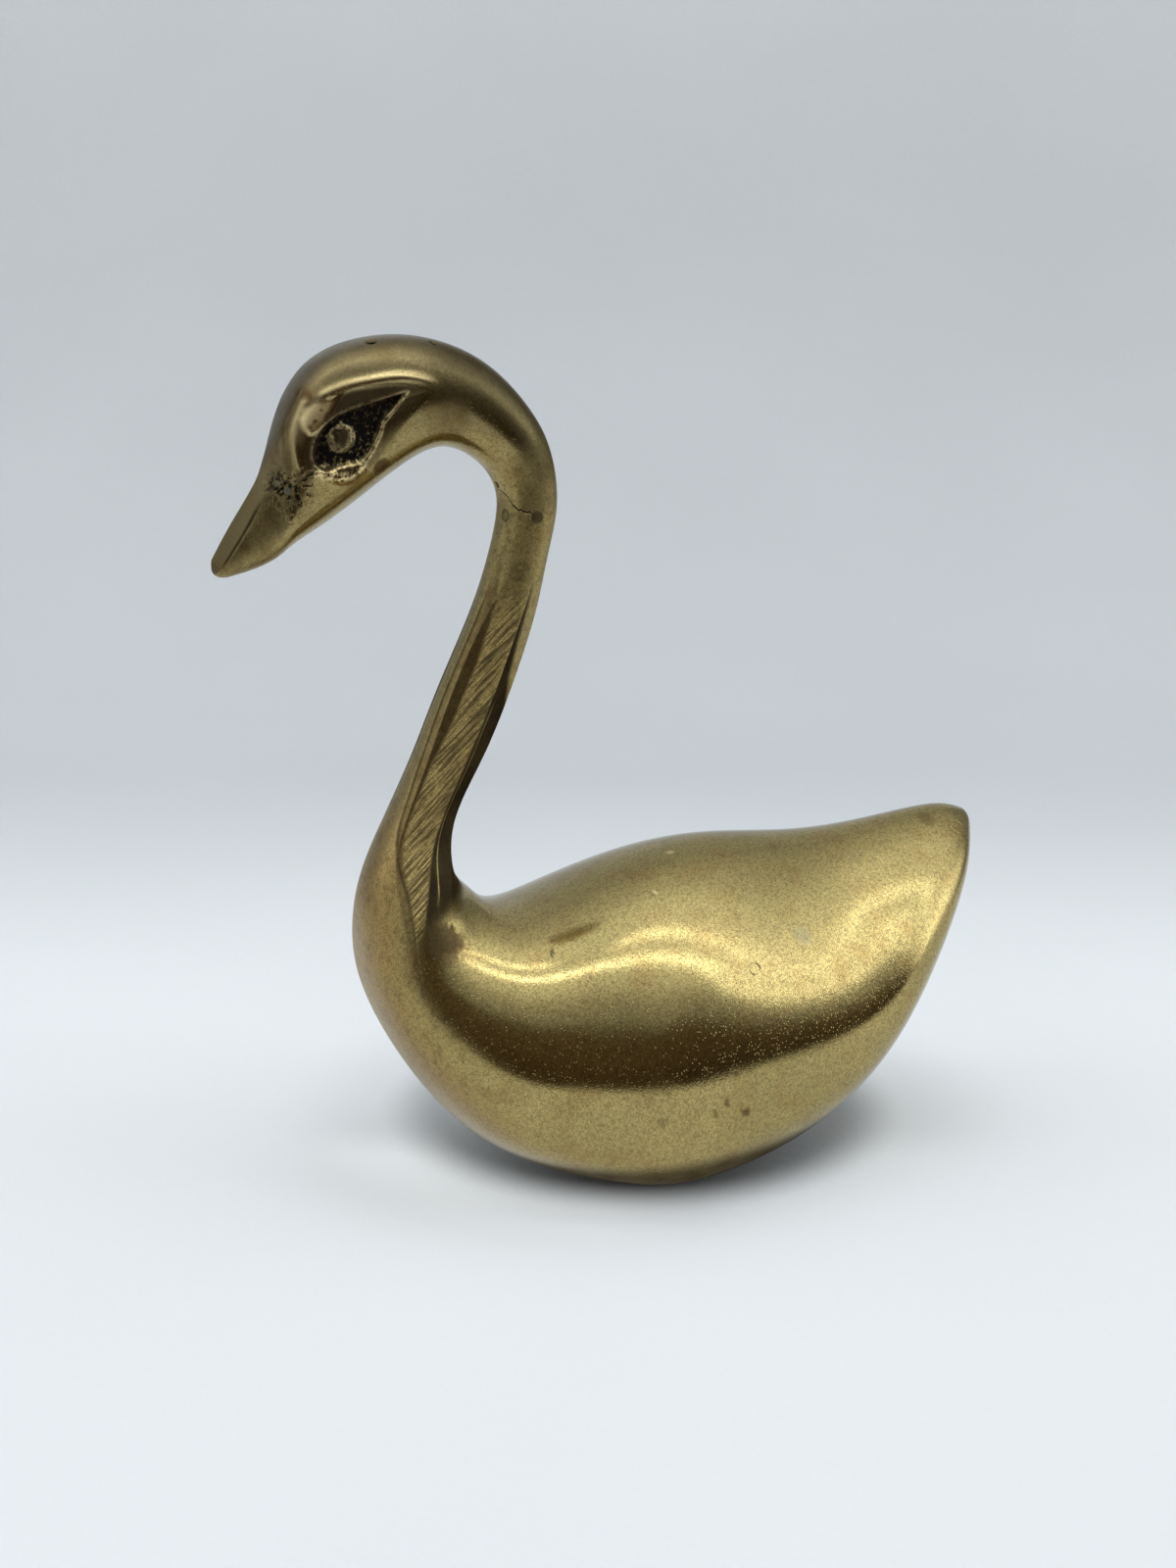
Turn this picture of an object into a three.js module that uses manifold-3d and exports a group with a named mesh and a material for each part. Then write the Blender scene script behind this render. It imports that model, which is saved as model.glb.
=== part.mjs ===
// A cast brass swan: a hollow body with the neck, a separate head, and the pins and plugs in the castings.
// Millimetres, +Z up. The beak points to -X and the tail to +X, and the origin is the middle of the flat
// that it stands on.
import * as THREE from 'three';
import { mergeVertices } from 'three/addons/utils/BufferGeometryUtils.js';
import Module from 'manifold-3d';

const wasm = await Module();
wasm.setup();

// Main sizes of the outer skin
const length = 124.75; // beak to tail, without their rounded ends
const width = 55.5; // across the flanks
const height = 132.5; // flat to crown

// Fits and castings
const clearance = 0.3; // gap left between pieces that fit together
const wallThickness = 4; // skin of the body round its core cavity
const tailRound = 0.9; // length of the rounded end past the last tail section
const beakRound = 1.2; // length of the rounded end past the last beak section

// Joint between the neck and the head
const spigotDiameter = 4.8; // peg below the head, in the neck's socket
const spigotLength = 6;
const spigotRoot = 3; // how far the peg runs up into the head
const neckPinDiameter = 1.5;
const neckPinDrop = 1.8; // pin axis below the joint face
const neckPinLand = 0.2; // metal left in the peg where the two pin holes come closest
const neckPins = [
  { name: 'neck_pin_side', angle: 270 },
  { name: 'neck_pin_front', angle: 201 },
];

// Eyes cut into both sides of the head, each with its eyeball left standing
const eyePlace = 21.6;
const eyeAngles = [257, 103];
const eyeTilt = 35; // degrees by which the long axis rises towards the tail
const eyeFront = 5.75; // middle of the eyeball to the round front corner
const eyeRear = 11; // middle of the eyeball to the sharp rear corner
const eyeHeight = 7.5;
const eyeDepth = 0.8;
const eyeballDiameter = 7;

// Plugs in the holes that the core pins left, in pairs on the left and right sides
const plugDiameter = 2.4;
const smallPlugDiameter = 1.8;
const plugLength = 4.5;
const plugs = [
  { name: 'tail_plug', place: 1, angle: 317, diameter: plugDiameter },
  { name: 'rump_plug', place: 3.6, angle: 259, diameter: plugDiameter },
  { name: 'flank_plug', place: 4.35, angle: 307, diameter: smallPlugDiameter },
];

// Plug under the body, in the hole that the core was dug out of
const basePlugDiameter = 10.5;
const basePlugShoulder = 1.5; // width of the step that the flange sits on
const basePlugFlange = 1.2; // thickness of the flange

// Cross-sections from the tail to the beak, each in the plane of the Y axis and its own back and keel points
// [x, z]. half is the half width and widest its height above the keel. square shapes the section towards the
// back and towards the keel: 0 is an ellipse, more is squarer and less is flatter in the flank. The drawing
// is stretched to the main sizes, and the cavity runs between two of its sections.
const drawing = {
  tail_tip: { back: [55.25, 53.25], keel: [55.75, 48], half: 2.75, widest: 2.75, square: [0, 0] },
  tail_end: { back: [51, 54.25], keel: [52.25, 40.75], half: 8.5, widest: 5.75, square: [-0.04, -0.01] },
  tail_root: { back: [38, 53], keel: [43.5, 25.5], half: 16.5, widest: 10.75, square: [-0.04, -0.015] },
  rump: { back: [24, 52.5], keel: [33, 13], half: 21.5, widest: 13.75, square: [-0.03, -0.015] },
  loin: { back: [10, 53.5], keel: [18.75, 3.5], half: 25, widest: 17.75, square: [-0.01, -0.015] },
  mid: { back: [-4, 52], keel: [-1.5, -0.75], half: 27.75, widest: 19.25, square: [0.015, -0.015] },
  fore: { back: [-15.5, 48.5], keel: [-16.5, 2.75], half: 27, widest: 16.75, square: [0.03, -0.01] },
  shoulder: { back: [-23.5, 46.5], keel: [-30.75, 9], half: 23.25, widest: 15.5, square: [0.02, -0.005] },
  breast: { back: [-29, 47.5], keel: [-41.75, 21.5], half: 18.25, widest: 11.25, square: [0.005, 0] },
  crop: { back: [-32, 50], keel: [-48.25, 36], half: 13.25, widest: 7.75, square: [0, 0.01] },
  neck_root: { back: [-35, 54], keel: [-49, 49], half: 10, widest: 8, square: [0.02, 0.02] },
  neck_low: { back: [-35, 61], keel: [-45.5, 59], half: 7, widest: 6, square: [0.04, 0.04] },
  neck_mid: { back: [-30, 70.5], keel: [-40.25, 70], half: 5.5, widest: 5.5, square: [0.05, 0.05] },
  neck_high: { back: [-25.25, 80.5], keel: [-35.75, 80.5], half: 5, widest: 5.5, square: [0.05, 0.05] },
  neck_top: { back: [-21, 92.25], keel: [-30.25, 92.5], half: 4.75, widest: 4.75, square: [0.04, 0.04] },
  neck_end: { back: [-19, 100.5], keel: [-27.25, 101.25], half: 4.75, widest: 4.25, square: [0.03, 0.03] },
  joint: { back: [-17.5, 108.25], keel: [-26, 108], half: 4.75, widest: 4.25, square: [0.03, 0.03] },
  hook: { back: [-18.5, 115.75], keel: [-27.25, 112], half: 5, widest: 5, square: [0.02, 0.02] },
  hook_top: { back: [-21, 121], keel: [-29.5, 114.5], half: 5.25, widest: 5.5, square: [0.02, 0.02] },
  nape: { back: [-27.5, 128], keel: [-35, 116.75], half: 5.75, widest: 7, square: [0.02, 0.02] },
  poll: { back: [-36, 132], keel: [-41.5, 114.25], half: 7, widest: 10.75, square: [0.02, 0.02] },
  crown: { back: [-45.25, 132.5], keel: [-48, 109.75], half: 7.75, widest: 14, square: [0.02, 0.02] },
  brow: { back: [-54.5, 128.5], keel: [-53.75, 106], half: 7.5, widest: 14, square: [0.02, 0.02] },
  forehead: { back: [-59.25, 120.25], keel: [-57.5, 103.75], half: 5.75, widest: 9.5, square: [0.02, 0.02] },
  beak_root: { back: [-61.75, 114], keel: [-60, 102], half: 3.75, widest: 5.75, square: [0.03, 0.03] },
  beak_mid: { back: [-66, 107.25], keel: [-63.75, 100.5], half: 3.75, widest: 3.75, square: [0.03, 0.03] },
  beak_tip: { back: [-69, 102.25], keel: [-66.75, 99.75], half: 2.25, widest: 1.75, square: [0.015, 0.015] },
};
const cavityFrom = 'rump';
const cavityTo = 'crop';

// Facets
const pointsAround = 32;
const stepsPerSection = 3;
const domeSteps = 3;
const roundSides = 24;

const yAxis = new THREE.Vector3(0, 1, 0);
const midPlane = (x, z) => new THREE.Vector3(x, 0, z);
const drawn = Object.values(drawing);
const drawnX = drawn.flatMap(({ back, keel }) => [back[0], keel[0]]);
const lengthStretch = length / (Math.max(...drawnX) - Math.min(...drawnX));
const widthStretch = width / 2 / Math.max(...drawn.map(({ half }) => half));
const heightStretch = height / Math.max(...drawn.map(({ back }) => back[1]));
const stretched = ([x, z]) => midPlane(x * lengthStretch, z * heightStretch);
const sections = drawn.map((section) => {
  const back = stretched(section.back);
  const keel = stretched(section.keel);
  const drawnChord = midPlane(...section.back).distanceTo(midPlane(...section.keel));
  const widest = (section.widest * back.distanceTo(keel)) / drawnChord;
  return { back, keel, half: section.half * widthStretch, widest, square: section.square };
});
const placeOf = (name) => Object.keys(drawing).indexOf(name);

function middleOf(points) {
  const sum = points.reduce((total, point) => total.add(point), new THREE.Vector3());
  return sum.divideScalar(points.length);
}

// Natural cubic spline through values at rising knots
function naturalSpline(knots, values) {
  const last = knots.length - 1;
  const curvature = new Array(last + 1).fill(0);
  const ratio = new Array(last + 1).fill(0);
  for (let i = 1; i < last; i++) {
    const before = knots[i] - knots[i - 1];
    const after = knots[i + 1] - knots[i];
    const pivot = 2 * (before + after) - before * ratio[i - 1];
    const turn = (values[i + 1] - values[i]) / after - (values[i] - values[i - 1]) / before;
    ratio[i] = after / pivot;
    curvature[i] = (6 * turn - before * curvature[i - 1]) / pivot;
  }
  for (let i = last - 1; i > 0; i--) {
    curvature[i] -= ratio[i] * curvature[i + 1];
  }
  return (t) => {
    let i = 0;
    while (i < last - 1 && knots[i + 1] < t) {
      i++;
    }
    const step = knots[i + 1] - knots[i];
    const b = (t - knots[i]) / step;
    const a = 1 - b;
    const bend = (a ** 3 - a) * curvature[i] + (b ** 3 - b) * curvature[i + 1];
    return a * values[i] + b * values[i + 1] + (bend * step * step) / 6;
  };
}

// The section at a place: 2 is the third in the list, and 2.5 lies halfway to the fourth
const middles = sections.map(({ back, keel }) => middleOf([back, keel]));
const knots = [0];
for (let i = 1; i < middles.length; i++) {
  knots.push(knots[i - 1] + Math.sqrt(middles[i].distanceTo(middles[i - 1])));
}
const along = (pick) => naturalSpline(knots, sections.map(pick));
const backX = along((s) => s.back.x);
const backZ = along((s) => s.back.z);
const keelX = along((s) => s.keel.x);
const keelZ = along((s) => s.keel.z);
const halfWidth = along((s) => s.half);
const widestLine = along((s) => s.widest);
const backSquare = along((s) => s.square[0]);
const keelSquare = along((s) => s.square[1]);

function sectionAt(place) {
  const i = Math.min(Math.floor(place), sections.length - 2);
  const t = knots[i] + (place - i) * (knots[i + 1] - knots[i]);
  const back = midPlane(backX(t), backZ(t));
  const keel = midPlane(keelX(t), keelZ(t));
  const chord = back.distanceTo(keel);
  const up = back.clone().sub(keel).divideScalar(chord);
  const middle = middleOf([back, keel]);
  const square = [backSquare(t), keelSquare(t)];
  return { keel, chord, up, middle, half: halfWidth(t), widest: widestLine(t), square };
}

// Point on the skin at an angle round the section: 0 is the back, 90 the right side and 270 the left side
function skinPoint(place, angle, inset = 0) {
  const { keel, chord, up, half, widest, square } = sectionAt(place);
  const turn = THREE.MathUtils.degToRad(angle);
  const corner = (square[0] + square[1] + (square[0] - square[1]) * Math.cos(turn)) / 2;
  const upward = (Math.cos(turn) - corner * Math.cos(3 * turn)) / (1 - corner);
  const sideward = (Math.sin(turn) + corner * Math.sin(3 * turn)) / (1 - corner);
  const rise = chord / 2 + (chord / 2 - inset) * upward - (chord / 2 - widest) * sideward ** 2;
  return keel.clone().addScaledVector(up, rise).addScaledVector(yAxis, (half - inset) * sideward);
}

function skinNormal(place, angle) {
  const nudge = 0.01;
  const sweep = skinPoint(place + nudge, angle).sub(skinPoint(place - nudge, angle));
  const round = skinPoint(place, angle + 1).sub(skinPoint(place, angle - 1));
  return round.cross(sweep).normalize();
}

function ringAt(place, inset = 0) {
  return Array.from({ length: pointsAround }, (_, k) => skinPoint(place, (360 * k) / pointsAround, inset));
}

function ringsBetween(from, to, inset = 0) {
  const count = Math.round((to - from) * stepsPerSection);
  return Array.from({ length: count + 1 }, (_, k) => ringAt(from + ((to - from) * k) / count, inset));
}

// Rings that shrink along a parabola, for a rounded end that goes on from a ring without a crease
function dome(ring, inner, reach) {
  const centre = middleOf(ring);
  const outwards = centre.clone().sub(middleOf(inner)).normalize();
  const scales = Array.from({ length: domeSteps }, (_, k) => 1 - (k + 1) / (domeSteps + 1));
  return scales.map((scale) => ring.map((point) => {
    const shrunk = point.clone().sub(centre).multiplyScalar(scale).add(centre);
    return shrunk.addScaledVector(outwards, reach * (1 - scale ** 2));
  }));
}

// Closed skin over a run of rings, with a fan at each end
function loft(rings) {
  const points = rings.flat();
  const first = points.push(middleOf(rings[0])) - 1;
  const last = points.push(middleOf(rings.at(-1))) - 1;
  const lastRing = (rings.length - 1) * pointsAround;
  const faces = [];
  for (let k = 0; k < pointsAround; k++) {
    const next = (k + 1) % pointsAround;
    faces.push(first, next, k, last, lastRing + k, lastRing + next);
    for (let row = 0; row < lastRing; row += pointsAround) {
      const above = row + pointsAround;
      faces.push(row + k, row + next, above + next, row + k, above + next, above + k);
    }
  }
  const geometry = new THREE.BufferGeometry().setFromPoints(points);
  return geometry.setIndex(faces);
}

function solid(geometry) {
  geometry.deleteAttribute('normal');
  geometry.deleteAttribute('uv');
  const merged = mergeVertices(geometry);
  const vertProperties = Float32Array.from(merged.attributes.position.array);
  const triVerts = Uint32Array.from(merged.index.array);
  return new wasm.Manifold(new wasm.Mesh({ numProp: 3, vertProperties, triVerts }));
}

// Cylinder along a direction, between two distances from a point
function rod(point, direction, diameter, from, to) {
  const geometry = new THREE.CylinderGeometry(diameter / 2, diameter / 2, to - from, roundSides);
  geometry.applyQuaternion(new THREE.Quaternion().setFromUnitVectors(yAxis, direction));
  const centre = point.clone().addScaledVector(direction, (from + to) / 2);
  return solid(geometry.translate(centre.x, centre.y, centre.z));
}

// Stepped disc about Z, wide up to the step and narrow above it
function steppedDisc(wide, step, narrow, bottom, top) {
  const outer = wide / 2;
  const inner = narrow / 2;
  const profile = [[0, bottom], [outer, bottom], [outer, step], [inner, step], [inner, top], [0, top]];
  const geometry = new THREE.LatheGeometry(profile.map(([r, z]) => new THREE.Vector2(r, z)), roundSides);
  return solid(geometry.rotateX(Math.PI / 2));
}

// Outer skins of the two castings, with the underside filed flat at z = 0
const jointPlace = placeOf('joint');
const beakPlace = sections.length - 1;
const bodyRings = ringsBetween(0, jointPlace);
const headRings = ringsBetween(jointPlace, beakPlace);
const tailDome = dome(bodyRings[0], bodyRings[1], tailRound).reverse();
const beakDome = dome(headRings.at(-1), headRings.at(-2), beakRound);
const underFloor = new THREE.BoxGeometry(2 * length, 2 * width, height).translate(0, 0, -height / 2);
const bodySkin = solid(loft([...tailDome, ...bodyRings])).subtract(solid(underFloor));
const headSkin = solid(loft([...headRings, ...beakDome]));
const cavity = solid(loft(ringsBetween(placeOf(cavityFrom), placeOf(cavityTo), wallThickness)));

// The joint's own directions: its face, and the run of the neck through it
const joint = sectionAt(jointPlace);
const neckAxis = joint.middle.clone().sub(sectionAt(jointPlace - 1).middle).normalize();
const faceNormal = joint.up.clone().cross(yAxis);
const faceTrim = rod(joint.middle, faceNormal, 2 * joint.chord, -clearance, clearance);
const spigot = rod(joint.middle, neckAxis, spigotDiameter, -spigotLength, spigotRoot);
const socketDiameter = spigotDiameter + 2 * clearance;
const socket = rod(joint.middle, neckAxis, socketDiameter, -spigotLength - clearance, spigotRoot);

// The pins point at each other, so they stop inside the peg where their holes would meet
const pinSpread = THREE.MathUtils.degToRad(neckPins[0].angle - neckPins[1].angle);
const pinSpace = neckPinDiameter / 2 + clearance + neckPinLand / 2;
const neckPinStart = pinSpace / Math.tan(pinSpread / 2) + clearance;

// A pin runs from inside the peg out through the neck, where it is filed flush with the skin
function neckPin({ angle }, extra = 0) {
  const turn = THREE.MathUtils.degToRad(angle);
  const fore = yAxis.clone().cross(neckAxis);
  const direction = fore.multiplyScalar(Math.cos(turn)).addScaledVector(yAxis, Math.sin(turn));
  const point = joint.middle.clone().addScaledVector(neckAxis, -neckPinDrop);
  return rod(point, direction, neckPinDiameter + 2 * extra, neckPinStart - extra, joint.chord);
}

// The almond outline of an eye, run right through the skin along its own Z
function almond() {
  const pull = (2 / 3) * eyeHeight;
  const shape = new THREE.Shape().moveTo(-eyeFront, 0);
  shape.bezierCurveTo(-eyeFront, pull, eyeFront / 2, pull, eyeRear, 0);
  shape.bezierCurveTo(eyeFront / 2, -pull, -eyeFront, -pull, -eyeFront, 0);
  const options = { depth: eyeballDiameter, curveSegments: roundSides / 2, bevelEnabled: false };
  return new THREE.ExtrudeGeometry(shape, options).translate(0, 0, -eyeballDiameter / 2);
}

function carveEye(head, angle) {
  const outwards = skinNormal(eyePlace, angle);
  const tilt = THREE.MathUtils.degToRad(eyeTilt);
  const rearwards = new THREE.Vector3(Math.cos(tilt), 0, Math.sin(tilt)).projectOnPlane(outwards).normalize();
  const across = outwards.clone().cross(rearwards);
  const eye = new THREE.Matrix4().makeBasis(rearwards, across, outwards);
  eye.setPosition(skinPoint(eyePlace, angle));
  const floor = solid(loft(ringsBetween(placeOf('nape'), placeOf('beak_root'), eyeDepth)));
  const recess = solid(almond().applyMatrix4(eye)).subtract(floor);
  const ball = new THREE.SphereGeometry(eyeballDiameter / 2, roundSides, roundSides / 2);
  return head.subtract(recess).add(solid(ball.translate(0, 0, -eyeballDiameter / 2).applyMatrix4(eye)));
}

// A plug stands square to the skin and reaches through the wall
function corePlug({ place, angle, diameter }, extra = 0) {
  const direction = skinNormal(place, angle);
  return rod(skinPoint(place, angle), direction, diameter + 2 * extra, -plugLength - extra, diameter);
}

// The plug under the body sits on a shoulder, and its peg ends level with the floor of the cavity
const cavityFloor = sections[placeOf('mid')].keel.z + wallThickness;
const basePlug = steppedDisc(
  basePlugDiameter, basePlugFlange, basePlugDiameter - 2 * basePlugShoulder, 0, cavityFloor);
const baseHole = steppedDisc(
  basePlugDiameter + 2 * clearance, basePlugFlange + clearance,
  basePlugDiameter - 2 * basePlugShoulder + 2 * clearance, -clearance, cavityFloor + wallThickness);

const mirrored = ({ angle, ...spot }) => ({ ...spot, angle: 360 - angle });
const sidedPlugs = plugs.flatMap((spot) => [
  { ...spot, name: `${spot.name}_left` },
  { ...mirrored(spot), name: `${spot.name}_right` },
]);

let bodyCasting = bodySkin.subtract(cavity).subtract(socket).subtract(baseHole);
for (const spot of sidedPlugs) {
  bodyCasting = bodyCasting.subtract(corePlug(spot, clearance));
}
let headCasting = headSkin.subtract(faceTrim).add(spigot);
for (const angle of eyeAngles) {
  headCasting = carveEye(headCasting, angle);
}
for (const pin of neckPins) {
  bodyCasting = bodyCasting.subtract(neckPin(pin, clearance));
  headCasting = headCasting.subtract(neckPin(pin, clearance));
}

const swan = new THREE.Group();
function addNode(name, shape, color, roughness) {
  const { vertProperties, triVerts } = shape.getMesh();
  const geometry = new THREE.BufferGeometry();
  geometry.setAttribute('position', new THREE.BufferAttribute(vertProperties, 3));
  geometry.setIndex(new THREE.BufferAttribute(triVerts, 1));
  geometry.computeVertexNormals();
  const material = new THREE.MeshStandardMaterial({ color, roughness, metalness: 1 });
  const mesh = new THREE.Mesh(geometry, material);
  mesh.name = name;
  swan.add(mesh);
}

addNode('body_casting', bodyCasting, 0xa8904f, 0.32);
addNode('head_casting', headCasting, 0xa38a4c, 0.34);
addNode('base_plug', basePlug, 0x97814a, 0.45);
for (const pin of neckPins) {
  addNode(pin.name, neckPin(pin).intersect(bodySkin), 0x7d6c42, 0.5);
}
for (const spot of sidedPlugs) {
  addNode(spot.name, corePlug(spot).intersect(bodySkin), 0xa08a50, 0.4);
}

export default swan;
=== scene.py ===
"""Looks of the cast brass swan: fine castings with their carving and wear, aged brass, and a soft studio."""
import itertools
import math

import bmesh
import bpy
import numpy as np
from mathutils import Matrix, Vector


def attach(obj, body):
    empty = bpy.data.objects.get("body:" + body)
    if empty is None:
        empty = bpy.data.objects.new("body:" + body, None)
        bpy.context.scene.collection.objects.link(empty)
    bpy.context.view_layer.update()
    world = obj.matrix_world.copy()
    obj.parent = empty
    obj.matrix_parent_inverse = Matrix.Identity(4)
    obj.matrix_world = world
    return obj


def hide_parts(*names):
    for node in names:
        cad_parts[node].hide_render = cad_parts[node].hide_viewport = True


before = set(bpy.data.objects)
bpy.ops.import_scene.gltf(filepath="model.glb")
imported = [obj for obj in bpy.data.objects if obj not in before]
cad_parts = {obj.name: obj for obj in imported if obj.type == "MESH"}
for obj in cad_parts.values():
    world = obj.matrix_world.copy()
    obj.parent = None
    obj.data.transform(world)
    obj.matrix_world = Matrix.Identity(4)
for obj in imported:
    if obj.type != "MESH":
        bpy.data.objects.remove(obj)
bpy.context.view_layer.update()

MM = 0.001

# Sections from the tail to the beak, in mm: back x z, keel x z, half width, height of the widest line above
# the keel, and how square the section is towards the back and towards the keel
SECTIONS = {
    "tail_tip": (55.25, 53.25, 55.75, 48, 2.75, 2.75, 0, 0),
    "tail_end": (51, 54.25, 52.25, 40.75, 8.5, 5.75, -0.04, -0.01),
    "tail_root": (38, 53, 43.5, 25.5, 16.5, 10.75, -0.04, -0.015),
    "rump": (24, 52.5, 33, 13, 21.5, 13.75, -0.03, -0.015),
    "loin": (10, 53.5, 18.75, 3.5, 25, 17.75, -0.01, -0.015),
    "mid": (-4, 52, -1.5, -0.75, 27.75, 19.25, 0.015, -0.015),
    "fore": (-15.5, 48.5, -16.5, 2.75, 27, 16.75, 0.03, -0.01),
    "shoulder": (-23.5, 46.5, -30.75, 9, 23.25, 15.5, 0.02, -0.005),
    "breast": (-29, 47.5, -41.75, 21.5, 18.25, 11.25, 0.005, 0),
    "crop": (-32, 50, -48.25, 36, 13.25, 7.75, 0, 0.01),
    "neck_root": (-35, 54, -49, 49, 10, 8, 0.02, 0.02),
    "neck_low": (-35, 61, -45.5, 59, 7, 6, 0.04, 0.04),
    "neck_mid": (-30, 70.5, -40.25, 70, 5.5, 5.5, 0.05, 0.05),
    "neck_high": (-25.25, 80.5, -35.75, 80.5, 5, 5.5, 0.05, 0.05),
    "neck_top": (-21, 92.25, -30.25, 92.5, 4.75, 4.75, 0.04, 0.04),
    "neck_end": (-19, 100.5, -27.25, 101.25, 4.75, 4.25, 0.03, 0.03),
    "joint": (-17.5, 108.25, -26, 108, 4.75, 4.25, 0.03, 0.03),
    "hook": (-18.5, 115.75, -27.25, 112, 5, 5, 0.02, 0.02),
    "hook_top": (-21, 121, -29.5, 114.5, 5.25, 5.5, 0.02, 0.02),
    "nape": (-27.5, 128, -35, 116.75, 5.75, 7, 0.02, 0.02),
    "poll": (-36, 132, -41.5, 114.25, 7, 10.75, 0.02, 0.02),
    "crown": (-45.25, 132.5, -48, 109.75, 7.75, 14, 0.02, 0.02),
    "brow": (-54.5, 128.5, -53.75, 106, 7.5, 14, 0.02, 0.02),
    "forehead": (-59.25, 120.25, -57.5, 103.75, 5.75, 9.5, 0.02, 0.02),
    "beak_root": (-61.75, 114, -60, 102, 3.75, 5.75, 0.03, 0.03),
    "beak_mid": (-66, 107.25, -63.75, 100.5, 3.75, 3.75, 0.03, 0.03),
    "beak_tip": (-69, 102.25, -66.75, 99.75, 2.25, 1.75, 0.015, 0.015),
}
# How far the rounded ends reach past the first and the last section, in mm
TAIL_ROUND = 0.9
BEAK_ROUND = 1.2
JOINT = list(SECTIONS).index("joint")
BEAK = len(SECTIONS) - 1

# Plugs and pins, as in the solids: place along the sections, angle round them and radius in mm
PLUGS = {"tail_plug": (1, 317, 1.2), "rump_plug": (3.6, 259, 1.2), "flank_plug": (4.35, 307, 0.9)}
PINS = {"neck_pin_side": (15.76, 270, 0.75), "neck_pin_front": (15.76, 201, 0.75)}
# Clearance round them, depth of the pockets that they stand in and depth of their shanks, in mm
PLUG_GAP = 0.02
PLUG_POCKET = 0.05
PLUG_DEPTH = 1.5
# How black the dirt round them is
RING_DIRT = {"plug_brass": 0.15, "pin_brass": 0.9}

# The hole for the plug under the body, as radius and height above the flat
BASE_HOLE = [(5.8, 0), (5.55, 0.2), (5.55, 1.5), (4.05, 1.5), (4.05, 4.5)]

# The crack where head and neck meet: angle round the neck and place along the sections
SEAM = [(0, 15.95), (60, 16.1), (120, 16.2), (180, 16.5), (199, 16.43), (216, 16.15), (220, 16.02),
        (234, 15.92), (254, 15.86), (292, 15.79), (330, 15.85), (360, 15.95)]
SEAM_GAP = 0.004
# The angles between which it stands open, and the share of the radius that closes each casting behind it
SEAM_OPEN = (196, 262)
SEAM_CAP = 0.7

# Flats filed on both sides of the neck: turn from the side towards the back in degrees, and depth in mm
FLATS = [(-15, 0.9), (33, 0.75)]
FLAT_FROM, FLAT_TO = 9.4, 14.8

# Lines along the neck, as place and angle: the crease in front of the filed facet, the bright edge behind it,
# both sides of the facet, and the far side of the painted dark reflection behind it
NECK_CREASE = [(9, 263), (9.6, 259), (10.2, 246), (11.2, 211), (12, 199), (13, 195), (13.6, 196), (14.3, 201)]
NECK_EDGE = [(9.7, 284), (10.6, 285), (11.7, 289), (12.5, 288), (13, 292)]
FACET_FRONT = [(9.4, 262), (10.2, 248), (11, 228), (12, 226), (12.6, 236), (13.4, 240), (14.1, 230),
               (14.8, 220)]
FACET_BACK = [(9.8, 270), (10.5, 272), (11.2, 279), (12.2, 279), (13.1, 283), (14.4, 286)]
BAND_END = [(12.6, 345), (13.2, 308), (13.9, 294), (14.5, 289)]

# The roof of the beak, filed flat on both sides: its lower edge as place and angle
EAVE = [(23.4, 318), (24.5, 306), (25, 295), (25.9, 280), (26, 278)]

# Spots of wear on the body: kind, x y z and radius in mm, strength and depth in mm
BODY_SPOTS = [
    ("brown", -0.7, -27.6, 20.1, 0.55, 0.8, 0.03), ("brown", 2.7, -27.2, 18, 0.7, 0.8, 0.03),
    ("brown", -2.5, -27.8, 18.6, 0.55, 0.7, 0.03), ("brown", -11.1, -27.7, 18.9, 0.7, 0.6, 0.02),
    ("black", 1.3, -26.9, 23.9, 0.4, 0.9, 0.08), ("black", -23.3, -13.6, 42.7, 0.35, 0.9, 0.12),
    ("black", -23.6, -14.2, 42.2, 0.25, 0.9, 0.1), ("black", -22.9, -13.2, 43.3, 0.22, 0.8, 0.08),
    ("black", -23.5, -13.2, 43.4, 0.2, 0.8, 0.08), ("green", 17.1, -17.2, 41, 1.5, 0.25, 0),
    ("wear_and_highlight", 0.4, -3.5, 52.6, 0.45, 0.8, 0.06), ("wear_and_highlight", -5.5, -10.7, 49, 0.3, 0.7, 0.08),
    ("brown", 46.5, -3.4, 53.1, 1.6, 0.5, 0), ("brown", 6.8, -20.7, 38.3, 0.85, 0.3, 0),
    ("brown", -39.3, -11.8, 45.4, 3.2, 0.75, 0), ("black", -39.5, -11.6, 45.8, 2.4, 0.4, 0),
]
# Scratches: both ends and width in mm
SCRATCHES = [
    ((-20.3, -19.5, 38.2), (-19.1, -18.6, 39.8), 0.12), ((-6.3, -11.2, 48.7), (-4.9, -10.3, 49.2), 0.1),
    ((-35.8, -17.2, 35.7), (-34.6, -17.6, 36.4), 0.08), ((-34.6, -18.6, 33.6), (-33, -18.9, 34.4), 0.08),
    ((-33.4, -19.4, 32.4), (-32, -19.6, 33.2), 0.08),
]

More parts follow.
